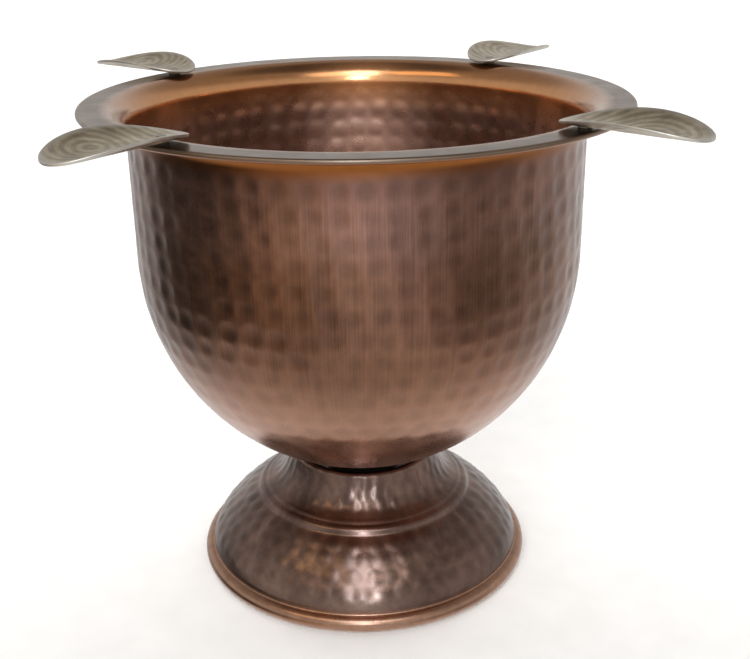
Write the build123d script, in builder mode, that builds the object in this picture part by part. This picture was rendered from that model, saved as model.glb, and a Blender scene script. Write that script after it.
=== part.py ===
from build123d import *
import math
import os

# Pedestal cigar ashtray: spun copper bowl on a flared foot, four trough-shaped rests on the rim.
# Millimetres, +Z up. Origin on the floor, on the common axis of the bowl and the foot.

# bowl
sheet = 1.2                # copper sheet
wall_radius = 83.4         # outside of the upright wall
belly_height = 87.2        # vertical half-axis of the rounded lower half
belly_centre_z = 132.0     # where the wall starts to curve in
bowl_seat_z = 45.4         # flat under the middle, where the foot is clamped
fold_z = 178.0             # where the wall starts to fold outwards
fold_radius = 9.2          # upper side of the fold
rim_z = 187.2              # top of the flat rim
rim_radius = 100.0
hem_radius = 0.95          # rolled edge of the rim

# foot
foot_top_z = 43.2
bead_centre = (63.5, 2.8)  # radius and height of the rolled edge
bead_radius = 3.1

# clamp through the middle
bolt_radius = 3.0
bolt_hole_radius = 3.3
gasket_radius = 12.5
clamp_washer_thick = 1.5
nut_height = 5.0
nut_flats = 10.0
seal_washer_thick = 1.0

# rests
rest_names = ("back_right", "back_left", "front_left", "front_right")
rest_angles = (46.7, 135.9, 224.6, 312.8)   # set by hand, so not quite a quarter turn apart
rest_centre_radius = 111.5
rest_half_length = 25.3
rest_half_width = 14.5
rest_bend_radius = 29.0    # middle of the sheet
rest_thick = 1.2
post_radius_from_axis = 94.4
post_height = 0.9
post_outer_radius = 2.4
rivet_radius = 1.5
rivet_hole_radius = 1.6
rivet_washer_thick = 0.5

os.makedirs("parts", exist_ok=True)


def export(solid, name):
    solid.label = name
    export_step(solid, f"parts/{name}.step")


# ---------------------------------------------------------------- bowl
fold_centre_r = wall_radius - sheet + fold_radius
hem_centre_r = rim_radius - hem_radius
hem_centre_z = rim_z - hem_radius


def belly_points(width, height, low_z):
    """Quarter oval from the flat middle up to the upright wall."""
    first = math.asin((low_z - belly_centre_z) / height)
    steps = [first * (1 - i / 6) for i in range(7)]
    return [(width * math.cos(t), belly_centre_z + height * math.sin(t)) for t in steps]


with BuildPart() as bowl_cavity:
    floor_points = belly_points(wall_radius - sheet, belly_height - sheet, bowl_seat_z + sheet)
    with BuildSketch(Plane.XZ):
        with BuildLine():
            belly = Spline(*floor_points)
            wall = Line(belly @ 1, (wall_radius - sheet, fold_z))
            fold = JernArc(wall @ 1, wall % 1, fold_radius, -90)
            Polyline(
                fold @ 1,
                (fold_centre_r, rim_z + 5),
                (0, rim_z + 5),
                (0, bowl_seat_z + sheet),
                belly @ 0,
            )
        make_face()
    revolve(axis=Axis.Z)

with BuildPart() as bowl:
    with BuildSketch(Plane.XZ):
        with BuildLine():
            belly = Spline(*belly_points(wall_radius, belly_height, bowl_seat_z))
            wall = Line(belly @ 1, (wall_radius, fold_z))
            fold = JernArc(wall @ 1, wall % 1, fold_radius - sheet, -90)
            under = Line(fold @ 1, (hem_centre_r - 1.1, rim_z - sheet))
            hem_in = Spline(
                under @ 1,
                (hem_centre_r, hem_centre_z - hem_radius),
                tangents=[(1, 0), (1, 0)],
            )
            hem = ThreePointArc(
                hem_in @ 1,
                (rim_radius, hem_centre_z),
                (hem_centre_r, rim_z),
            )
            Polyline(hem @ 1, (0, rim_z), (0, bowl_seat_z), belly @ 0)
        make_face()
    revolve(axis=Axis.Z)
    add(bowl_cavity.part, mode=Mode.SUBTRACT)
    with Locations((0, 0, bowl_seat_z + sheet)):
        Hole(bolt_hole_radius, depth=5)
    for angle in rest_angles:
        with Locations(Rotation(0, 0, angle) * Pos(post_radius_from_axis, 0, rim_z)):
            Hole(rivet_hole_radius, depth=5)
export(bowl.part, "bowl")

# ---------------------------------------------------------------- foot
# the collar's top is dished down to the flat that the bowl is clamped on
dish_outer = [(16.0, foot_top_z), (20.5, 44.0), (24.5, 45.6), (27.2, 46.5)]
collar_outer = [(29.3, 44.5), (30.6, 41.0), (32.4, 37.4), (34.9, 34.2), (38.2, 32.0)]
dome_outer = [(43.4, 28.2), (48.8, 24.7), (54.1, 20.1), (58.1, 15.8), (61.3, 11.3), (63.1, 7.4)]
dish_inner = [(16.2, foot_top_z - sheet), (20.9, 42.85), (24.9, 44.45), (27.0, 45.25)]
collar_inner = [(28.15, 44.1), (29.5, 40.5), (31.4, 36.8), (34.1, 33.3), (37.6, 31.0)]
dome_inner = [(42.5, 27.4), (48.0, 23.8), (53.2, 19.3), (57.1, 15.1), (60.2, 10.8), (61.8, 7.2)]

with BuildPart() as foot_cavity:
    with BuildSketch(Plane.XZ):
        with BuildLine():
            Polyline((0, -1), (0, foot_top_z - sheet), dish_inner[0])
            Spline(*dish_inner, tangents=[(1, 0), (1, 0.1)])
            Spline(dish_inner[-1], collar_inner[0], tangents=[(1, 0.1), (0.35, -1)])
            Spline(*collar_inner, tangents=[(0.35, -1), (1, -0.45)])
            Polyline(collar_inner[-1], (40.0, 29.2), dome_inner[0])
            Spline(*dome_inner)
            Polyline(dome_inner[-1], (61.2, 5.0), (61.2, -1), (0, -1))
        make_face()
    revolve(axis=Axis.Z)

with BuildPart() as foot:
    with BuildSketch(Plane.XZ):
        with BuildLine():
            Polyline((0, 0), (0, foot_top_z), dish_outer[0])
            Spline(*dish_outer, tangents=[(1, 0), (1, 0.1)])
            Spline(dish_outer[-1], collar_outer[0], tangents=[(1, 0.1), (0.35, -1)])
            Spline(*collar_outer, tangents=[(0.35, -1), (1, -0.4)])
            Spline(
                collar_outer[-1],
                (39.4, 31.7),
                (40.2, 30.75),
                tangents=[(1, -0.4), (0.6, -1)],
            )
            Spline(
                (40.2, 30.75),
                (41.6, 30.5),
                (42.9, 29.5),
                dome_outer[0],
                tangents=[(1, 0.5), (0.7, -1)],
            )
            Spline(*dome_outer)
            Polyline(dome_outer[-1], (62.6, 6.0), (61.5, 0), (0, 0))
        make_face()
    revolve(axis=Axis.Z)
    with BuildSketch(Plane.XZ):
        with Locations(bead_centre):
            Circle(bead_radius)
    revolve(axis=Axis.Z)
    split(bisect_by=Plane.XY, keep=Keep.TOP)
    add(foot_cavity.part, mode=Mode.SUBTRACT)
    with Locations((0, 0, foot_top_z)):
        Hole(bolt_hole_radius, depth=5)
export(foot.part, "foot")

# ---------------------------------------------------------------- clamp through the middle
with BuildPart() as gasket:
    with BuildSketch(Plane.XY.offset(foot_top_z)):
        Circle(gasket_radius)
        Circle(bolt_hole_radius, mode=Mode.SUBTRACT)
    extrude(amount=bowl_seat_z - foot_top_z)
export(gasket.part, "joint_gasket")

floor_z = bowl_seat_z + sheet
head_z = floor_z + seal_washer_thick
with BuildPart() as seal_washer:
    with BuildSketch(Plane.XY.offset(floor_z)):
        Circle(8.0)
        Circle(bolt_hole_radius, mode=Mode.SUBTRACT)
    extrude(amount=seal_washer_thick)
    fillet(seal_washer.edges().group_by(Axis.Z)[-1].sort_by(SortBy.RADIUS)[-1], 0.3)
export(seal_washer.part, "seal_washer")

under_top_z = foot_top_z - sheet
washer_z = under_top_z - clamp_washer_thick
nut_z = washer_z - nut_height
with BuildPart() as clamp_washer:
    with BuildSketch(Plane.XY.offset(washer_z)):
        Circle(10.0)
        Circle(bolt_hole_radius, mode=Mode.SUBTRACT)
    extrude(amount=clamp_washer_thick)
    fillet(clamp_washer.edges().group_by(Axis.Z)[0].sort_by(SortBy.RADIUS)[-1], 0.4)
export(clamp_washer.part, "clamp_washer")

with BuildPart() as nut:
    with BuildSketch(Plane.XY.offset(nut_z)):
        RegularPolygon(nut_flats / 2, 6, major_radius=False)
    extrude(amount=nut_height)
    with BuildSketch(Plane.XY.offset(nut_z)):
        Circle(nut_flats / 2 + 0.05)
    extrude(amount=nut_height, taper=-30, mode=Mode.INTERSECT)
    with Locations((0, 0, nut_z + nut_height)):
        Hole(bolt_radius + 0.04, depth=nut_height)
export(nut.part, "clamp_nut")

with BuildPart() as bolt:
    with BuildSketch(Plane.XY.offset(nut_z - 3.5)):
        Circle(bolt_radius)
    extrude(amount=head_z - nut_z + 3.5)
    chamfer(bolt.edges().sort_by(Axis.Z)[0], 0.7)
    with BuildSketch(Plane.XZ):
        with BuildLine():
            Polyline((0, head_z), (6.2, head_z), (6.2, head_z + 1.2))
            ThreePointArc((6.2, head_z + 1.2), (4.2, head_z + 3.1), (0, head_z + 3.9))
            Line((0, head_z + 3.9), (0, head_z))
        make_face()
    revolve(axis=Axis.Z)
    with BuildSketch(Plane.XY.offset(head_z + 1.5)):
        Rectangle(20, 1.4)
    extrude(amount=4, mode=Mode.SUBTRACT)
export(bolt.part, "centre_bolt")

# ---------------------------------------------------------------- rests on the rim
rest_low_z = rim_z + post_height          # underside of the trough
rest_mid_z = rest_low_z + rest_thick / 2
bend_z = rest_mid_z + rest_bend_radius    # height of the bend's axis
reach = 36.0                              # half angle of the bent strip before it is trimmed


def arc_point(radius, angle):
    return (radius * math.sin(math.radians(angle)), bend_z - radius * math.cos(math.radians(angle)))


def make_rest(angle):
    """One oval plate bent to a trough whose length points outwards from the axis."""
    radial = Vector(math.cos(math.radians(angle)), math.sin(math.radians(angle)), 0)
    tangent = Vector(-radial.Y, radial.X, 0)
    start = radial * (rest_centre_radius - rest_half_length - 5)
    low = rest_bend_radius + rest_thick / 2
    high = rest_bend_radius - rest_thick / 2
    with BuildPart() as rest:
        with BuildSketch(Plane(origin=start, x_dir=tangent, z_dir=radial)):
            with BuildLine():
                ThreePointArc(arc_point(low, -reach), arc_point(low, 0), arc_point(low, reach))
                Line(arc_point(low, reach), arc_point(high, reach))
                ThreePointArc(arc_point(high, reach), arc_point(high, 0), arc_point(high, -reach))
                Line(arc_point(high, -reach), arc_point(low, -reach))
            make_face()
        extrude(amount=2 * rest_half_length + 10)
        blank = radial * rest_centre_radius + Vector(0, 0, rest_low_z - 1)
        with BuildSketch(Plane(origin=blank, x_dir=radial, z_dir=(0, 0, 1))):
            Ellipse(rest_half_length, rest_half_width)
        extrude(amount=15, mode=Mode.INTERSECT)
        fillet(rest.edges(), 0.4)
        eye = radial * post_radius_from_axis + Vector(0, 0, rest_low_z - 1)
        with BuildSketch(Plane(origin=eye, z_dir=(0, 0, 1))):
            Circle(rivet_hole_radius)
        extrude(amount=6, mode=Mode.SUBTRACT)
    return rest.part


for name, angle in zip(rest_names, rest_angles):
    export(make_rest(angle), f"rest_{name}")

for name, angle in zip(rest_names, rest_angles):
    with BuildPart() as post:
        with Locations(Rotation(0, 0, angle) * Pos(post_radius_from_axis, 0, rim_z)):
            Cylinder(
                post_outer_radius, post_height, align=(Align.CENTER, Align.CENTER, Align.MIN)
            )
        fillet(post.edges().filter_by(GeomType.CIRCLE), 0.25)
        with Locations(Rotation(0, 0, angle) * Pos(post_radius_from_axis, 0, rim_z)):
            Cylinder(rivet_hole_radius, 10, mode=Mode.SUBTRACT)
    export(post.part, f"post_{name}")

# rivets: upper end finished flush with the trough, closed head under the rim washer
rivet_spots = [Rotation(0, 0, angle) * Pos(post_radius_from_axis, 0, 0) for angle in rest_angles]
rivet_head_z = rest_low_z + rest_thick + 0.05
rivet_tail_z = rim_z - sheet - rivet_washer_thick


def at_height(z):
    return [spot * Pos(0, 0, z) for spot in rivet_spots]


with BuildPart() as rivets:
    with Locations(*at_height(rivet_tail_z)):
        Cylinder(
            rivet_radius,
            rivet_head_z - rivet_tail_z,
            align=(Align.CENTER, Align.CENTER, Align.MIN),
        )
    with Locations(*at_height(rivet_tail_z)):
        Cylinder(2.4, 1.2, align=(Align.CENTER, Align.CENTER, Align.MAX))
    rounds = rivets.edges().filter_by(GeomType.CIRCLE).group_by(Axis.Z)
    fillet(rounds[0], 0.9)
export(rivets.part, "rest_rivets")

with BuildPart() as rivet_washers:
    with Locations(*at_height(rivet_tail_z)):
        Cylinder(2.9, rivet_washer_thick, align=(Align.CENTER, Align.CENTER, Align.MIN))
        Cylinder(
            rivet_hole_radius,
            rivet_washer_thick,
            align=(Align.CENTER, Align.CENTER, Align.MIN),
            mode=Mode.SUBTRACT,
        )
export(rivet_washers.part, "rivet_washers")
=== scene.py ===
import math

import bmesh
import bpy
import numpy as np
from mathutils import Matrix, Vector


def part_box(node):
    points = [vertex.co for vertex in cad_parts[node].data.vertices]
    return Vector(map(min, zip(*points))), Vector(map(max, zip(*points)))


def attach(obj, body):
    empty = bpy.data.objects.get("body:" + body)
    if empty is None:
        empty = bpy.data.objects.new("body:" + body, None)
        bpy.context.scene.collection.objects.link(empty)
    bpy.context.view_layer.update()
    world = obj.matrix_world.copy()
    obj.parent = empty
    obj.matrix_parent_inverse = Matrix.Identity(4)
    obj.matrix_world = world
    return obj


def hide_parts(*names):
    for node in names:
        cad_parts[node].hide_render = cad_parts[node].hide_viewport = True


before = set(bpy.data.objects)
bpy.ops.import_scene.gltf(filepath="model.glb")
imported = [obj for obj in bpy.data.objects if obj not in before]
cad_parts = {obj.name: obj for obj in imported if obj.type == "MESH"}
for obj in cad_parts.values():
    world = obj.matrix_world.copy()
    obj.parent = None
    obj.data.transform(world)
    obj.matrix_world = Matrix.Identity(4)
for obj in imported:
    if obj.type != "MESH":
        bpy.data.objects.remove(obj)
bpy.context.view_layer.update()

# ------------------------------------------------------------------ sizes, in metres
MM = 0.001
bowl_low, bowl_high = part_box("bowl")
rim_radius = bowl_high.x
rim_z = bowl_high.z
seat_z = bowl_low.z
sheet = 1.2 * MM
half_sheet = sheet / 2
wall_radius = rim_radius - 16.6 * MM      # outside of the bowl's upright wall
belly_centre_z = rim_z - 55.2 * MM        # where the wall starts to curve in
fold_centre_z = rim_z - 9.2 * MM
fold_centre_r = wall_radius + 8.0 * MM
fold_mid_radius = 8.6 * MM                # middle of the folded sheet
hem_radius = 0.95 * MM                    # rolled edge of the rim
hole_radius = 3.3 * MM                    # clamp bolt's hole
REST_ANGLES = {"back_right": 46.7, "back_left": 135.9, "front_left": 224.6, "front_right": 312.8}

rng = np.random.default_rng(41)


# ------------------------------------------------------------------ node helpers
def new_material(name):
    mat = bpy.data.materials.new(name)
    mat.use_nodes = True
    tree = mat.node_tree
    return mat, tree, tree.nodes["Principled BSDF"]


def node(tree, kind, **values):
    made = tree.nodes.new(kind)
    for key, value in values.items():
        if key in made.inputs:
            made.inputs[key].default_value = value
        else:
            setattr(made, key, value)
    return made


def maths(tree, operation, a, b):
    made = node(tree, "ShaderNodeMath", operation=operation)
    for socket, value in zip(made.inputs, (a, b)):
        if isinstance(value, (int, float)):
            socket.default_value = value
        else:
            tree.links.new(value, socket)
    return made.outputs[0]


def ramp(tree, source, stops):
    made = tree.nodes.new("ShaderNodeValToRGB")
    tree.links.new(source, made.inputs["Fac"])
    elements = made.color_ramp.elements
    while len(elements) < len(stops):
        elements.new(0.5)
    for element, (place, colour) in zip(elements, stops):
        element.position = place
        element.color = (*colour, 1)
    return made.outputs["Color"]


def scaled(tree, source, low, high, start=0.0, end=1.0):
    made = node(tree, "ShaderNodeMapRange", clamp=True)
    for key, value in (("From Min", start), ("From Max", end), ("To Min", low), ("To Max", high)):
        made.inputs[key].default_value = value
    tree.links.new(source, made.inputs["Value"])
    return made.outputs["Result"]


def object_place(tree):
    return tree.nodes.new("ShaderNodeTexCoord").outputs["Object"]


def height_and_level(tree):
    """Height above the table, and the place with its height left out."""
    split = tree.nodes.new("ShaderNodeSeparateXYZ")
    tree.links.new(object_place(tree), split.inputs[0])
    level = tree.nodes.new("ShaderNodeCombineXYZ")
    for axis in (0, 1):
        tree.links.new(split.outputs[axis], level.inputs[axis])
    return split.outputs[2], level.outputs[0]


def round_place(tree, around, along):
    """Coordinates that run round the axis and up it, with no seam: streaks follow the wall."""
    height, level = height_and_level(tree)
    unit = node(tree, "ShaderNodeVectorMath", operation="NORMALIZE")
    tree.links.new(level, unit.inputs[0])
    wide = node(tree, "ShaderNodeVectorMath", operation="SCALE")
    tree.links.new(unit.outputs[0], wide.inputs[0])
    wide.inputs["Scale"].default_value = around
    split = tree.nodes.new("ShaderNodeSeparateXYZ")
    tree.links.new(wide.outputs[0], split.inputs[0])
    joined = tree.nodes.new("ShaderNodeCombineXYZ")
    for axis in (0, 1):
        tree.links.new(split.outputs[axis], joined.inputs[axis])
    tree.links.new(maths(tree, "MULTIPLY", height, along), joined.inputs[2])
    return joined.outputs[0]


def noise(tree, scale, detail, rough, place=None, shift=(0, 0, 0)):
    mapping = node(tree, "ShaderNodeMapping", Location=shift)
    tree.links.new(place or object_place(tree), mapping.inputs["Vector"])
    made = node(tree, "ShaderNodeTexNoise", Scale=scale, Detail=detail, Roughness=rough)
    tree.links.new(mapping.outputs["Vector"], made.inputs["Vector"])
    return made.outputs["Fac"]


def mixed(tree, factor, a, b):
    """Colour a where factor is 0 and b where it is 1."""
    made = node(tree, "ShaderNodeMix", data_type="RGBA")
    tree.links.new(factor, made.inputs["Factor"])
    for socket, value in ((made.inputs[6], a), (made.inputs[7], b)):
        if isinstance(value, tuple):
            socket.default_value = (*value, 1)
        else:
            tree.links.new(value, socket)
    return made.outputs[2]


def bump(tree, shader, height, strength, distance):
    made = node(tree, "ShaderNodeBump", Strength=strength, Distance=distance)
    tree.links.new(height, made.inputs["Height"])
    tree.links.new(made.outputs["Normal"], shader.inputs["Normal"])


def shade(tree, colour, value):
    """Colour made lighter or darker by a number."""
    made = node(tree, "ShaderNodeVectorMath", operation="SCALE")
    tree.links.new(colour, made.inputs[0])
    tree.links.new(value, made.inputs["Scale"])
    return made.outputs[0]


def mark(tree, name):
    """A number stored on the mesh's points."""
    return node(tree, "ShaderNodeAttribute", attribute_name=name).outputs["Fac"]


def axis_place(tree):
    """Height above the table and distance from the object's axis."""
    height, level = height_and_level(tree)
    length = node(tree, "ShaderNodeVectorMath", operation="LENGTH")
    tree.links.new(level, length.inputs[0])
    return height, length.outputs["Value"]


def times(tree, *values):
    out = values[0]
    for value in values[1:]:
        out = maths(tree, "MULTIPLY", out, value)
    return out


def lacquer(shader):
    """Clear coat over bare metal."""
    shader.inputs["Metallic"].default_value = 1.0
    shader.inputs["Coat Weight"].default_value = 0.22
    shader.inputs["Coat Roughness"].default_value = 0.18
    shader.inputs["Coat IOR"].default_value = 1.45


# ------------------------------------------------------------------ materials
def bowl_copper():
    """Brown patina with upright streaks on the wall; tan towards the bottom and amber under the fold outside,
    both painted reflection; painted amber highlight on the fold inside; dull flat rim.
    """
    mat, tree, shader = new_material("copper_antique")
    height, radius = axis_place(tree)
    inside = mark(tree, "inside")
    foot_joint_z, rim_top_z = 0.045, 0.187
    up = scaled(tree, height, 0.0, 1.0, foot_joint_z, rim_top_z)
    # painted light: the outside is lighter towards the bottom as a painted reflection of the bright table
    # below, and the amber band at the top (0.95 to 1.0, under the fold) is a painted reflection
    wall = ramp(
        tree,
        up,
        [
            (0.0, (0.55, 0.3, 0.21)),
            (0.25, (0.44, 0.236, 0.16)),
            (0.36, (0.32, 0.165, 0.106)),
            (0.46, (0.2, 0.097, 0.058)),
            (0.7, (0.195, 0.096, 0.059)),
            (0.8, (0.23, 0.122, 0.088)),
            (0.92, (0.21, 0.108, 0.078)),
            (0.95, (0.24, 0.078, 0.014)),
            (1.0, (0.33, 0.105, 0.022)),
        ],
    )
    # painted highlight: the amber band near 0.93, at the top of the inside, stands in for the light caught by
    # the fold
    inside_tone_and_painted_highlight = ramp(
        tree,
        up,
        [
            (0.0, (0.36, 0.22, 0.16)),
            (0.85, (0.42, 0.27, 0.21)),
            (0.93, (0.6, 0.29, 0.125)),
            (1.0, (0.34, 0.16, 0.07)),
        ],
    )
    colour = mixed(tree, inside, wall, inside_tone_and_painted_highlight)
    past_fold = scaled(tree, radius, 0.0, 1.0, 0.0885, 0.0925)
    on_top = scaled(tree, height, 0.0, 1.0, 0.1852, 0.1862)
    flat = times(tree, past_fold, on_top)
    colour = mixed(tree, flat, colour, (0.185, 0.13, 0.093))

    # streaks and clouds only on the outside, above the belly and below the fold
    outside = maths(tree, "SUBTRACT", 1.0, inside)
    above_belly = scaled(tree, height, 0.0, 1.0, 0.085, 0.125)
    below_fold = scaled(tree, height, 1.0, 0.0, 0.168, 0.176)
    upper = times(tree, outside, above_belly, below_fold)
    streak = noise(tree, 1.0, 3, 0.7, round_place(tree, 110, 24))
    fine_streak = noise(tree, 1.0, 2, 0.6, round_place(tree, 330, 40))
    both = maths(tree, "ADD", times(tree, streak, 0.55), times(tree, fine_streak, 0.45))
    streaks = times(tree, maths(tree, "SUBTRACT", scaled(tree, both, 0.5, 1.5, 0.34, 0.66), 1.0), upper)
    patches = noise(tree, 1.0, 5, 0.6, round_place(tree, 2.6, 24))
    clouds = times(tree, maths(tree, "SUBTRACT", scaled(tree, patches, 0.62, 1.32, 0.34, 0.66), 1.0), upper)
    mottle = scaled(tree, noise(tree, 210, 4, 0.65), -0.06, 0.06, 0.3, 0.7)
    marks = maths(tree, "ADD", times(tree, streaks, 0.5), times(tree, clouds, 0.8))
    tone = maths(tree, "ADD", marks, mottle)
    colour = shade(tree, colour, maths(tree, "ADD", tone, 1.0))
    colour = shade(tree, colour, scaled(tree, mark(tree, "dent"), 1.0, 0.8))
    tree.links.new(colour, shader.inputs["Base Color"])

    # the fold is polished and the flat rim is dull
    polish = scaled(tree, height, 0.0, 0.1, 0.173, 0.178)
    polished = times(tree, polish, maths(tree, "SUBTRACT", 1.0, flat))
    dull = maths(tree, "SUBTRACT", times(tree, flat, 0.08), polished)
    smudge = scaled(tree, noise(tree, 90, 4, 0.6), 0.24, 0.33, 0.35, 0.65)
    tree.links.new(maths(tree, "ADD", smudge, dull), shader.inputs["Roughness"])
    lacquer(shader)
    tree.links.new(scaled(tree, inside, 1.0, 0.955), shader.inputs["Metallic"])
    fine = noise(tree, 700, 3, 0.6)
    grain = maths(tree, "ADD", times(tree, fine_streak, upper, 0.5), times(tree, fine, 0.5))
    bump(tree, shader, grain, 0.22, 0.06 * MM)
    return mat


def foot_copper():
    """Darker, greyer patina in soft patches, darkest in the hollows of the hammer marks."""
    mat, tree, shader = new_material("copper_foot")
    patches = noise(tree, 1.0, 5, 0.55, round_place(tree, 2.4, 40), shift=(3, 1, 0))
    patina = [(0.34, (0.085, 0.05, 0.039)), (0.5, (0.14, 0.084, 0.066)), (0.66, (0.21, 0.13, 0.1))]
    colour = ramp(tree, patches, patina)
    height = axis_place(tree)[0]
    rolled_edge = scaled(tree, height, 1.0, 0.0, 0.0062, 0.0075)
    colour = mixed(tree, rolled_edge, colour, (0.34, 0.19, 0.125))
    mottle = noise(tree, 260, 4, 0.65)
    colour = shade(tree, colour, scaled(tree, mottle, 0.82, 1.18, 0.3, 0.7))
    colour = shade(tree, colour, scaled(tree, mark(tree, "dent"), 1.0, 0.75))
    tree.links.new(colour, shader.inputs["Base Color"])
    smudge = scaled(tree, noise(tree, 90, 4, 0.6), 0.25, 0.34, 0.35, 0.65)
    tree.links.new(smudge, shader.inputs["Roughness"])
    lacquer(shader)
    bump(tree, shader, noise(tree, 700, 3, 0.6), 0.2, 0.05 * MM)
    return mat


def steel_material(name, dark, light, rough):
    """Cloudy grey metal for the small fixings."""
    mat, tree, shader = new_material(name)
    patches = noise(tree, 120, 5, 0.6)
    colour = ramp(tree, patches, [(0.3, dark), (0.7, light)])
    tree.links.new(colour, shader.inputs["Base Color"])
    fine = noise(tree, 900, 3, 0.6)
    tree.links.new(scaled(tree, fine, rough - 0.06, rough + 0.1), shader.inputs["Roughness"])
    shader.inputs["Metallic"].default_value = 1.0
    bump(tree, shader, fine, 0.2, 0.05 * MM)
    return mat


def rest_material():
    """Antiqued grey steel with a generic etched ripple on the trough and bright worn edges."""
    mat, tree, shader = new_material("steel_rest")
    patches = noise(tree, 130, 5, 0.65)
    greys = [(0.3, (0.31, 0.25, 0.172)), (0.52, (0.5, 0.42, 0.305)), (0.72, (0.66, 0.57, 0.43))]
    colour = ramp(tree, patches, greys)
    wave = node(
        tree, "ShaderNodeTexWave", wave_type="RINGS", rings_direction="SPHERICAL",
        Scale=95.0, Distortion=3.2, Detail=2.0,
    )
    wave.inputs["Detail Scale"].default_value = 0.8
    # the ripple runs round a point a little beyond the middle of each trough
    own = node(tree, "ShaderNodeAttribute", attribute_name="own_place").outputs["Vector"]
    shift = node(tree, "ShaderNodeMapping", Location=(-0.118, 0.004, -0.189))
    tree.links.new(own, shift.inputs["Vector"])
    tree.links.new(shift.outputs["Vector"], wave.inputs["Vector"])
    lines = scaled(tree, wave.outputs["Fac"], 0.0, 1.0, 0.35, 0.6)
    etched = mixed(tree, times(tree, lines, 0.35), colour, (0.1, 0.085, 0.06))
    worn = mixed(tree, times(tree, mark(tree, "edge"), 0.75), etched, (0.62, 0.59, 0.54))
    tree.links.new(worn, shader.inputs["Base Color"])
    fine = noise(tree, 900, 3, 0.6)
    broad = noise(tree, 55, 2, 0.5, shift=(0.3, 0, 0))
    smudge = maths(tree, "ADD", times(tree, fine, 0.5), times(tree, broad, 0.5))
    tree.links.new(scaled(tree, smudge, 0.3, 0.48, 0.3, 0.7), shader.inputs["Roughness"])
    shader.inputs["Metallic"].default_value = 1.0
    relief = maths(tree, "SUBTRACT", times(tree, fine, 0.35), lines)
    bump(tree, shader, relief, 0.5, 0.07 * MM)
    return mat


def rubber_material():
    """Dull black with fine specks."""
    mat, tree, shader = new_material("rubber_black")
    specks = noise(tree, 1500, 2, 0.5)
    colour = ramp(tree, specks, [(0.3, (0.008, 0.008, 0.008)), (0.7, (0.02, 0.02, 0.02))])
    tree.links.new(colour, shader.inputs["Base Color"])
    tree.links.new(scaled(tree, specks, 0.6, 0.8), shader.inputs["Roughness"])
    bump(tree, shader, specks, 0.3, 0.05 * MM)
    return mat


copper = bowl_copper()
copper_dark = foot_copper()
steel = steel_material("steel_antique", (0.2, 0.175, 0.135), (0.4, 0.365, 0.3), 0.38)
zinc = steel_material("steel_zinc", (0.45, 0.45, 0.44), (0.65, 0.65, 0.64), 0.3)
rest_steel = rest_material()
rubber = rubber_material()


# ------------------------------------------------------------------ turned and hammered sheet
def runs_of(profile):
    """Distance walked along a profile at each of its points."""
    return np.r_[0, np.cumsum(np.hypot(*np.diff(profile, axis=0).T))]


def resample(points, step):
    """Points along a polyline, evenly spaced."""
    points = np.asarray(points, float)
    runs = runs_of(points)
    count = max(2, int(round(runs[-1] / step)) + 1)
    at = np.linspace(0, runs[-1], count)
    return np.c_[np.interp(at, runs, points[:, 0]), np.interp(at, runs, points[:, 1])]


def arc(centre, radius, start, end, count=24):
    turn = np.radians(np.linspace(start, end, count))
    return np.c_[centre[0] + radius * np.cos(turn), centre[1] + radius * np.sin(turn)]


def smooth_curve(points, count=40):
    """Catmull-Rom curve through a few points."""
    points = np.asarray(points, float)
    ends = np.vstack([2 * points[0] - points[1], points, 2 * points[-1] - points[-2]])
    out = []
    for i in range(1, len(ends) - 2):
        p0, p1, p2, p3 = ends[i - 1 : i + 3]
        for t in np.linspace(0, 1, count, endpoint=False):
            out.append(
                0.5
                * (
                    2 * p1
                    + (p2 - p0) * t
                    + (2 * p0 - 5 * p1 + 4 * p2 - p3) * t**2
                    + (3 * p1 - p0 - 3 * p2 + p3) * t**3
                )
            )
    out.append(points[-1])
    return np.array(out)


def normals_of(profile):
    """Left-hand normals of a profile walked along its points."""
    step = np.gradient(profile, axis=0)
    step /= np.linalg.norm(step, axis=1)[:, None]
    return np.c_[step[:, 1], -step[:, 0]]


class Dents:
    """Rows of hammer marks on a turned sheet: s along the profile, theta round it.

    rows are the rows' places along the profile, around the spacing in a row and size a mark's radius.
    long stretches the marks along the profile, drift turns each row past the one before it, by a share
    of the spacing, and fade gives the share of the depth at a place.
    """

    def __init__(self, rows, around, size, depth, profile_radius, long=1.0, drift=0.35, fade=None):
        self.rows = []
        for i, s in enumerate(rows):
            radius = profile_radius(s)
            count = max(8, int(round(2 * math.pi * radius / around)))
            turn = 2 * math.pi / count
            angles = turn * (np.arange(count) + rng.normal(0, 0.07, count) + drift * i)
            shift = rng.normal(0, 0.06 * size, count)
            sizes = size * (1 + rng.normal(0, 0.07, count))
            uneven = 1 + np.minimum(rng.normal(0, 0.18, count), 0.3)
            depths = depth * (fade(s) if fade else 1) * uneven
            self.rows.append((s, radius, angles, shift, sizes, depths))
        self.long = long

    def depth_at(self, s_values, theta):
        out = np.zeros((len(s_values), len(theta)))
        for s0, radius, angles, shift, sizes, depths in self.rows:
            for a, ds, size, depth in zip(angles, shift, sizes, depths):
                near_s = np.abs(s_values - s0 - ds) < size * self.long
                if not near_s.any():
                    continue
                turn = (theta - a + math.pi) % (2 * math.pi) - math.pi
                near_t = np.abs(turn) * radius < size
                ss = (s_values[near_s] - s0 - ds)[:, None] / (size * self.long)
                tt = turn[near_t][None, :] * radius / size
                out[np.ix_(near_s, near_t)] += np.clip(1 - ss**2 - tt**2, 0, None) ** 1.6 * depth
        return out


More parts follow.
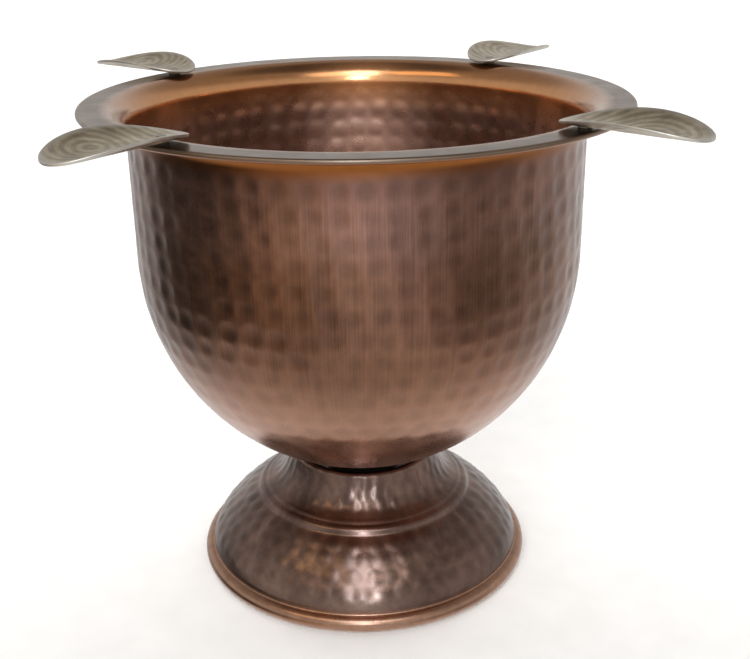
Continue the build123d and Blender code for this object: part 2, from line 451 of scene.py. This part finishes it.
def turned_mesh(name, loops, columns, layers):
    """A closed turned body. loops has a (radius, height) pair of arrays for each profile point."""
    theta = np.linspace(0, 2 * math.pi, columns, endpoint=False)
    radius = np.array([r for r, _ in loops])
    height = np.array([z for _, z in loops])
    rows = len(loops)
    co = np.stack([radius * np.cos(theta), radius * np.sin(theta), height], -1).reshape(-1, 3)
    i = np.arange(rows)[:, None]
    j = np.arange(columns)[None, :]
    i2 = (i + 1) % rows
    j2 = (j + 1) % columns
    quads = np.stack(
        [i * columns + j, i * columns + j2, i2 * columns + j2, i2 * columns + j], -1
    ).reshape(-1, 4)
    mesh = bpy.data.meshes.new(name)
    mesh.vertices.add(len(co))
    mesh.vertices.foreach_set("co", co.ravel().astype(np.float32))
    mesh.loops.add(quads.size)
    mesh.loops.foreach_set("vertex_index", quads.ravel().astype(np.int32))
    mesh.polygons.add(len(quads))
    mesh.polygons.foreach_set("loop_start", np.arange(0, quads.size, 4, dtype=np.int32))
    mesh.polygons.foreach_set("loop_total", np.full(len(quads), 4, np.int32))
    mesh.polygons.foreach_set("use_smooth", np.ones(len(quads), bool))
    mesh.update()
    mesh.validate()
    for layer_name, values in layers.items():
        layer = mesh.attributes.new(layer_name, "FLOAT", "POINT")
        layer.data.foreach_set("value", values.ravel().astype(np.float32))
    obj = bpy.data.objects.new(name, mesh)
    bpy.context.scene.collection.objects.link(obj)
    return obj


def hammered_body(name, outer, inner, depth_at, columns, inner_share):
    """Turned sheet with the marks of depth_at on its outside and inner_share of them on its inside.

    outer and inner run the same way; the ring between them closes at both ends.
    """
    full_shade = 0.26 * MM                 # depth at which the patina in a mark is darkest
    inner_fade_z = (0.167, 0.176)          # the inside's marks end below the fold
    theta = np.linspace(0, 2 * math.pi, columns, endpoint=False)
    loops = []
    dent = []
    inside = []
    for profile, share, sign in ((outer, 1.0, 1), (inner[::-1], inner_share, -1)):
        normal = normals_of(profile) * sign
        s = runs_of(profile) if sign > 0 else runs_of(profile[::-1])[::-1]
        depth = depth_at(s, theta) * share
        if sign < 0:
            depth *= np.interp(profile[:, 1], inner_fade_z, (1, 0))[:, None]
        for p, n, row in zip(profile, normal, depth):
            loops.append((p[0] - n[0] * row, p[1] - n[1] * row))
            dent.append(row / full_shade if sign > 0 else 0 * row)
            inside.append(0 * row + (sign < 0))
    return turned_mesh(name, loops, columns, {"dent": np.array(dent), "inside": np.array(inside)})


# ------------------------------------------------------------------ bowl
def bowl_profile(offset):
    """The bowl's side from the middle of its floor to the rim's edge, offset outwards from mid-sheet."""
    width = wall_radius - half_sheet + offset
    height = belly_centre_z - seat_z + 0.6 * MM - half_sheet + offset
    floor_z = seat_z + half_sheet - offset
    first = math.asin((floor_z - belly_centre_z) / height)
    turn = np.linspace(first, 0, 60)
    belly = np.c_[width * np.cos(turn), belly_centre_z + height * np.sin(turn)]
    fold = arc((fold_centre_r, fold_centre_z), fold_mid_radius - offset, 180, 90)
    return np.vstack([[hole_radius, floor_z], belly, [width, fold_centre_z], fold])


bowl_step = 1.0 * MM
hem_centre = (rim_radius - hem_radius, rim_z - hem_radius)
bowl_outer = np.vstack(
    [
        resample(bowl_profile(half_sheet), bowl_step),
        resample([(fold_centre_r, rim_z - sheet), (hem_centre[0] - 1.1 * MM, rim_z - sheet)], bowl_step)[1:],
        arc(hem_centre, hem_radius, -110, 0, 10),
    ]
)
bowl_inner = np.vstack(
    [
        resample(bowl_profile(-half_sheet), bowl_step),
        resample([(fold_centre_r, rim_z), (hem_centre[0], rim_z)], bowl_step)[1:],
        arc(hem_centre, hem_radius, 85, 20, 6),
    ]
)
bowl_runs = runs_of(bowl_outer)


def bowl_radius_at(s):
    return float(np.interp(s, bowl_runs, bowl_outer[:, 0]))


def bowl_dent_share(s):
    """The marks fade out down the belly, towards the smooth bottom."""
    height = np.interp(s, bowl_runs, bowl_outer[:, 1])
    return float(np.interp(height, (0.06, 0.085, 0.12), (0, 0.4, 1)))


top_row = np.interp(173.5 * MM, bowl_outer[:, 1], bowl_runs)
row_spacing = 8.25 * MM
lowest_row = 14 * MM
bowl_dents = Dents(
    np.arange(top_row, lowest_row, -row_spacing),
    around=9.2 * MM,
    size=4.6 * MM,
    depth=0.29 * MM,
    profile_radius=bowl_radius_at,
    drift=0.12,
    fade=bowl_dent_share,
)
columns = 576
bowl = hammered_body("bowl_skin", bowl_outer, bowl_inner, bowl_dents.depth_at, columns, inner_share=1.25)
bowl.data.materials.append(copper)
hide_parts("bowl")
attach(bowl, "root")

# ------------------------------------------------------------------ foot
# (radius, height) in millimetres, from the flat top outwards and down
dish = [(16.0, 43.2), (20.5, 44.0), (24.5, 45.6), (27.2, 46.5)]
collar_edge = [(27.2, 46.5), (28.5, 46.15), (29.05, 45.5), (29.3, 44.5)]
collar = [(29.3, 44.5), (30.6, 41.0), (32.4, 37.4), (34.9, 34.2), (38.2, 32.0)]
dome = [(43.4, 28.2), (48.8, 24.7), (54.1, 20.1), (58.1, 15.8), (61.3, 11.3), (63.1, 7.4)]
step_ring = [(38.2, 32.0), (39.4, 31.6), (40.2, 30.75), (41.3, 30.6), (42.7, 29.7), (43.4, 28.2)]
rolled_edge = arc((63.5, 2.8), 3.1, 100, -64.5, 30)
foot_step = 0.8 * MM
foot_outer = np.vstack(
    [
        [(hole_radius / MM, 43.2), (16.0, 43.2)],
        smooth_curve(dish)[1:],
        smooth_curve(collar_edge)[1:],
        smooth_curve(collar)[1:],
        smooth_curve(step_ring)[1:],
        smooth_curve(dome)[1:],
        [(62.8, 6.1)],
        rolled_edge,
    ]
)
foot_outer = resample(foot_outer * MM, foot_step)
foot_inner = np.vstack(
    [
        [(hole_radius / MM, 42.0), (16.2, 42.0)],
        smooth_curve([(16.2, 42.0), (20.9, 42.85), (24.9, 44.45), (27.0, 45.25)])[1:],
        smooth_curve([(27.0, 45.25), (27.85, 44.95), (28.15, 44.1)])[1:],
        smooth_curve([(28.15, 44.1), (29.5, 40.5), (31.4, 36.8), (34.1, 33.3), (37.6, 31.0)])[1:],
        [(40.0, 29.2), (42.5, 27.4)],
        smooth_curve([(42.5, 27.4), (48.0, 23.8), (53.2, 19.3), (57.1, 15.1), (60.2, 10.8), (61.8, 7.2)])[1:],
        [(61.2, 5.0), (61.4, 0.9), (62.2, 0.0)],
    ]
)
foot_inner = resample(foot_inner * MM, foot_step)
foot_runs = runs_of(foot_outer)


def foot_place(radius):
    """How far down the foot's side a radius in millimetres is."""
    return float(np.interp(radius * MM, foot_outer[:, 0], foot_runs))


def foot_radius_at(s):
    return float(np.interp(s, foot_runs, foot_outer[:, 0]))


dome_dents = Dents(
    [foot_place(r) for r in (46.8, 51.7, 56.2, 60.0)],
    around=7.6 * MM,
    size=3.9 * MM,
    depth=0.22 * MM,
    profile_radius=foot_radius_at,
    drift=0.5,
)
collar_dents = Dents(
    [foot_place(r) for r in (29.9, 31.5, 34.1)],
    around=5.6 * MM,
    size=2.5 * MM,
    depth=0.2 * MM,
    profile_radius=foot_radius_at,
    long=1.6,
    drift=0.5,
)


def foot_depth_at(s_values, theta):
    return np.maximum(dome_dents.depth_at(s_values, theta), collar_dents.depth_at(s_values, theta))


foot = hammered_body("foot_skin", foot_outer, foot_inner, foot_depth_at, columns, inner_share=0.75)
foot.data.materials.append(copper_dark)
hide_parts("foot")
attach(foot, "root")

# ------------------------------------------------------------------ rests
rest_centre_r = 111.5 * MM
rest_half_length = 25.295 * MM
rest_half_width = 14.5 * MM
rest_thick = 1.2 * MM
rest_upper = -0.48 * MM                   # upper surface, measured outwards from mid-sheet
rest_lower = rest_thick / 2               # lower surface
rest_bend = 29.0 * MM                     # radius of the trough at mid-sheet
rest_rounding = 0.4 * MM
rest_low_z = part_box("rest_front_left")[0].z
bend_axis_z = rest_low_z + rest_lower + rest_bend


def rest_mesh(name, angle):
    """Oval plate bent to a trough, with rounded edges; its own X runs outwards along the trough."""
    turns = 200
    t = np.linspace(0, 2 * math.pi, turns, endpoint=False)
    out_x = rest_half_width * np.cos(t)
    out_y = rest_half_length * np.sin(t)
    outward = np.stack([out_x, out_y]) / np.hypot(out_x, out_y)

    # rings from the middle of the upper side, round the edge, to the middle of the lower side:
    # share of the way in, distance in from the outline, place through the sheet, on the edge or not
    rings = [(inset, rest_rounding, rest_upper, 0.0) for inset in np.linspace(1, 0, 26)[:-1]]
    for turn in np.radians(np.linspace(0, 90, 6)):
        inward, down = rest_rounding * (1 - math.sin(turn)), rest_rounding * (1 - math.cos(turn))
        rings.append((0, inward, rest_upper + down, 1.0))
    for turn in np.radians(np.linspace(90, 0, 6)):
        inward, up = rest_rounding * (1 - math.sin(turn)), rest_rounding * (1 - math.cos(turn))
        rings.append((0, inward, rest_lower - up, 1.0))
    rings += [(inset, rest_rounding, rest_lower, 0.0) for inset in np.linspace(0, 1, 14)[1:]]

    points = []
    edges = []
    for inset, inward, off, edge in rings:
        x = rest_half_length * np.cos(t) - outward[0] * inward
        y = rest_half_width * np.sin(t) - outward[1] * inward
        x, y = x * (1 - inset), y * (1 - inset)
        radius = rest_bend + off
        z = bend_axis_z - np.sqrt(radius**2 - y**2)
        points.append(np.stack([x + rest_centre_r, y, z], -1))
        near = max(edge, 1 - inset * 9)
        edges.append(np.full(turns, max(0.0, near) if off < 0 or edge else 0.0))
    own = np.concatenate(points)
    turn = math.radians(angle)
    co = np.c_[
        own[:, 0] * math.cos(turn) - own[:, 1] * math.sin(turn),
        own[:, 0] * math.sin(turn) + own[:, 1] * math.cos(turn),
        own[:, 2],
    ]
    rows = len(rings)
    i = np.arange(rows - 1)[:, None]
    j = np.arange(turns)[None, :]
    j2 = (j + 1) % turns
    quads = np.stack(
        [i * turns + j, (i + 1) * turns + j, (i + 1) * turns + j2, i * turns + j2], -1
    ).reshape(-1, 4)
    mesh = bpy.data.meshes.new(name)
    mesh.from_pydata(co.tolist(), [], quads.tolist())
    bm = bmesh.new()
    bm.from_mesh(mesh)
    edge_layer = bm.verts.layers.float.new("edge")
    place_layer = bm.verts.layers.float_vector.new("own_place")
    for vert, value, place in zip(bm.verts, np.concatenate(edges), own):
        vert[edge_layer] = value
        vert[place_layer] = place
    bmesh.ops.remove_doubles(bm, verts=bm.verts, dist=1e-6)
    bmesh.ops.recalc_face_normals(bm, faces=bm.faces)
    for face in bm.faces:
        face.smooth = True
    bm.to_mesh(mesh)
    bm.free()
    obj = bpy.data.objects.new(name, mesh)
    bpy.context.scene.collection.objects.link(obj)
    return obj


for where, angle in REST_ANGLES.items():
    rest = rest_mesh(f"rest_skin_{where}", angle)
    rest.data.materials.append(rest_steel)
    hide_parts(f"rest_{where}")
    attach(rest, "root")

# ------------------------------------------------------------------ CAD pieces that stay
FINISHES = {
    "rest_rivets": steel,
    "joint_gasket": rubber,
    "seal_washer": rubber,
    "rivet_washers": copper_dark,
    "centre_bolt": zinc,
    "clamp_washer": zinc,
    "clamp_nut": zinc,
    **{f"post_{where}": steel for where in REST_ANGLES},
}
for name, finish in FINISHES.items():
    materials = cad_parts[name].data.materials
    materials.clear()
    materials.append(finish)

# ------------------------------------------------------------------ floor, lights and camera
view_turn = math.radians(-6.4)            # how far round the object the camera and the lights stand

reach = 12
floor_corners = [(-reach, -reach, 0), (reach, -reach, 0), (reach, reach, 0), (-reach, reach, 0)]
floor_mesh = bpy.data.meshes.new("floor")
floor_mesh.from_pydata(floor_corners, [], [(0, 1, 2, 3)])
floor = bpy.data.objects.new("floor", floor_mesh)
bpy.context.scene.collection.objects.link(floor)
mat, tree, shader = new_material("floor_paper")
paper = ramp(tree, noise(tree, 60, 3, 0.5), [(0.3, (0.9, 0.9, 0.89)), (0.7, (0.94, 0.94, 0.93))])
tree.links.new(paper, shader.inputs["Base Color"])
shader.inputs["Roughness"].default_value = 0.9
shader.inputs["Specular IOR Level"].default_value = 0.1
floor.data.materials.append(mat)
floor.visible_glossy = False              # the metal mirrors the studio's surround instead


def studio_world():
    """Pale room, which is what the metal mirrors.

    Below the horizon it is bright paper close by, and further out bright and dim parts of a room, so
    the round wall shows upright bands of light and dark. The zenith is dim.
    """
    world = bpy.data.worlds.new("studio")
    bpy.context.scene.world = world
    world.use_nodes = True
    tree = world.node_tree
    coords = tree.nodes.new("ShaderNodeTexCoord")
    turned = node(tree, "ShaderNodeMapping", vector_type="VECTOR", Rotation=(0, 0, -view_turn))
    tree.links.new(coords.outputs["Generated"], turned.inputs["Vector"])
    split = tree.nodes.new("ShaderNodeSeparateXYZ")
    tree.links.new(turned.outputs["Vector"], split.inputs[0])
    front = maths(tree, "MULTIPLY", split.outputs[1], -1.0)
    around = maths(tree, "ARCTAN2", split.outputs[0], front)
    place = scaled(tree, around, 0.0, 1.0, -math.pi, math.pi)
    # direction in degrees round the object, 0 towards the camera's side
    far = [
        (-180, (0.9, 0.9, 0.9)),
        (-133, (0.65, 0.65, 0.65)),
        (-108, (0.1, 0.1, 0.09)),
        (-76, (0.07, 0.065, 0.06)),
        (-58, (0.28, 0.23, 0.19)),
        (-40, (0.64, 0.51, 0.38)),
        (-25, (0.8, 0.7, 0.6)),
        (-8, (1.05, 1.0, 1.0)),
        (6, (1.1, 1.1, 1.15)),
        (22, (0.82, 0.82, 0.88)),
        (38, (0.55, 0.53, 0.53)),
        (56, (0.36, 0.32, 0.3)),
        (75, (0.42, 0.4, 0.4)),
        (95, (0.75, 0.75, 0.75)),
        (125, (0.9, 0.9, 0.9)),
        (180, (0.9, 0.9, 0.9)),
    ]
    band = ramp(tree, place, [((degrees + 180) / 360, colour) for degrees, colour in far])
    rise = split.outputs[2]                # sine of the angle above the horizon
    close_by = scaled(tree, rise, 1.0, 0.0, -0.68, -0.46)
    high = scaled(tree, rise, 0.0, 1.0, 0.4, 0.62)
    overhead = scaled(tree, rise, 0.0, 1.0, 0.8, 0.92)
    over_horizon = scaled(tree, rise, 0.0, 1.0, -0.08, 0.0)
    below = mixed(tree, close_by, band, (0.95, 0.94, 0.93))
    ceiling = mixed(tree, overhead, (0.45, 0.43, 0.41), (0.12, 0.11, 0.11))
    above = mixed(tree, high, (0.8, 0.8, 0.79), ceiling)
    colour = mixed(tree, over_horizon, below, above)
    tree.links.new(colour, tree.nodes["Background"].inputs["Color"])


studio_world()


def toward(azimuth, elevation):
    """Direction from the object in degrees; azimuth 0 is the camera's side."""
    turn = math.radians(azimuth) + view_turn
    tilt = math.radians(elevation)
    return Vector((math.sin(turn) * math.cos(tilt), -math.cos(turn) * math.cos(tilt), math.sin(tilt)))


def new_light(name, kind, power, colour=(1, 1, 1)):
    data = bpy.data.lights.new(name, kind)
    data.energy = power
    data.color = colour
    obj = bpy.data.objects.new(name, data)
    bpy.context.scene.collection.objects.link(obj)
    return obj


def area_light(name, azimuth, elevation, away, size, power, colour):
    """Soft box that is mirrored in the metal and lights no matt surface."""
    aim = Vector((0, 0, 0.09))
    obj = new_light(name, "AREA", power, colour)
    obj.data.shape = "RECTANGLE"
    obj.data.size, obj.data.size_y = size
    obj.location = aim + away * toward(azimuth, elevation)
    obj.rotation_euler = (aim - obj.location).to_track_quat("-Z", "Y").to_euler()
    obj.visible_diffuse = False


def soft_sun(name, azimuth, elevation, strength):
    """Even light on the table; it isn't mirrored in the metal."""
    obj = new_light(name, "SUN", strength)
    obj.data.angle = math.radians(50)
    obj.rotation_euler = toward(azimuth, elevation).to_track_quat("Z", "Y").to_euler()
    obj.visible_glossy = False


def inner_spot(power):
    """Steep light on the inside of the bowl's far wall; it isn't mirrored in the metal."""
    obj = new_light("inner_spot", "SPOT", power, (1, 0.93, 0.9))
    obj.data.spot_size = math.radians(3.1)
    obj.data.spot_blend = 1.0
    obj.data.shadow_soft_size = 0.01
    turn = Matrix.Rotation(view_turn, 4, "Z")
    start, end = turn @ Vector((0.003, -0.2, 1.2)), turn @ Vector((0.003, 0.071, 0.13))
    obj.location = start
    obj.rotation_euler = (end - start).to_track_quat("-Z", "Y").to_euler()
    obj.visible_glossy = False


# name, azimuth, elevation, distance, size, power, colour
area_light("front_window", -4, 50, 1.6, (0.34, 0.8), 5.8, (0.7, 0.84, 1.0))
area_light("front_glow", 8, 48, 1.6, (0.9, 0.6), 3.6, (1.0, 0.96, 0.9))
area_light("low_front", -1, 24, 1.6, (0.12, 0.5), 5.6, (0.72, 0.86, 1.0))
area_light("warm_side", -46, 50, 1.5, (0.8, 0.45), 2.0, (1.0, 0.74, 0.4))
soft_sun("sun_front", -15, 42, 1.5)
soft_sun("sun_back_left", -140, 42, 1.35)
soft_sun("sun_back_right", 140, 42, 1.35)
inner_spot(2900)

# camera: the viewing angle is given by its distance, height, tilt and turn about the object
camera_distance = 410.4 * MM
camera_height = 260.3 * MM
pitch, yaw, roll = (math.radians(a) for a in (21.896, 0.771, -0.754))
forward = Vector((math.sin(yaw) * math.cos(pitch), math.cos(yaw) * math.cos(pitch), -math.sin(pitch)))
right = Vector((math.cos(yaw), -math.sin(yaw), 0))
up = right.cross(forward)
right_rolled = math.cos(roll) * right + math.sin(roll) * up
up_rolled = -math.sin(roll) * right + math.cos(roll) * up
axes = Matrix((right_rolled, up_rolled, -forward)).transposed().to_4x4()
camera_data = bpy.data.cameras.new("camera")
camera_data.sensor_width = 36
camera_data.lens = 53.7624
camera_data.clip_start = 0.01
camera = bpy.data.objects.new("camera", camera_data)
stand = Matrix.Translation((0, -camera_distance, camera_height))
camera.matrix_world = Matrix.Rotation(view_turn, 4, "Z") @ stand @ axes
bpy.context.scene.collection.objects.link(camera)
bpy.context.scene.camera = camera

bpy.context.scene.view_settings.view_transform = "Standard"
